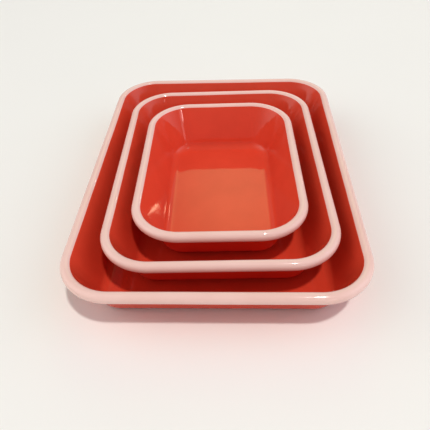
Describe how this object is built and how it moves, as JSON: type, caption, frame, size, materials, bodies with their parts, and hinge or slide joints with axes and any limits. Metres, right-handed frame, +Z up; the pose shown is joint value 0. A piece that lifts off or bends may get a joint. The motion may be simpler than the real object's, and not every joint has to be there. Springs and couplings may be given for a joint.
{
  "type": "nested developing tray set",
  "caption": "Nested rectangular enamelled steel developing trays with flared walls, round corners, flat floors and rolled rims; each lifts out of the next.",
  "frame": {"origin": "middle of the largest tray's outline, on the surface that it stands on", "axes": "+Z up out of the trays, +Y along the long sides towards the back, +X to the right"},
  "size_m": [0.238, 0.33, 0.0476],
  "materials": {
    "red_enamel": "glossy fused enamel, tomato red",
    "pink_enamel": "glossy fused enamel, pale pink",
    "steel": "pickled low-carbon steel, all of it under enamel"
  },
  "bodies": {
    "large_tray": {"large_tray_steel_pressing": "steel", "large_tray_inner_enamel": "red_enamel", "large_tray_outer_enamel": "red_enamel", "large_tray_rim_enamel": "pink_enamel"},
    "medium_tray": {"medium_tray_steel_pressing": "steel", "medium_tray_inner_enamel": "red_enamel", "medium_tray_outer_enamel": "red_enamel", "medium_tray_rim_enamel": "pink_enamel"},
    "small_tray": {"small_tray_steel_pressing": "steel", "small_tray_inner_enamel": "red_enamel", "small_tray_outer_enamel": "red_enamel", "small_tray_rim_enamel": "pink_enamel"}
  },
  "joints": [
    {"name": "medium_lift", "type": "slide", "parent": "large_tray", "child": "medium_tray", "axis": [0, 0, 1], "range_m": [0, 0.1]},
    {"name": "small_lift", "type": "slide", "parent": "medium_tray", "child": "small_tray", "axis": [0, 0, 1], "range_m": [0, 0.1]}
  ]
}
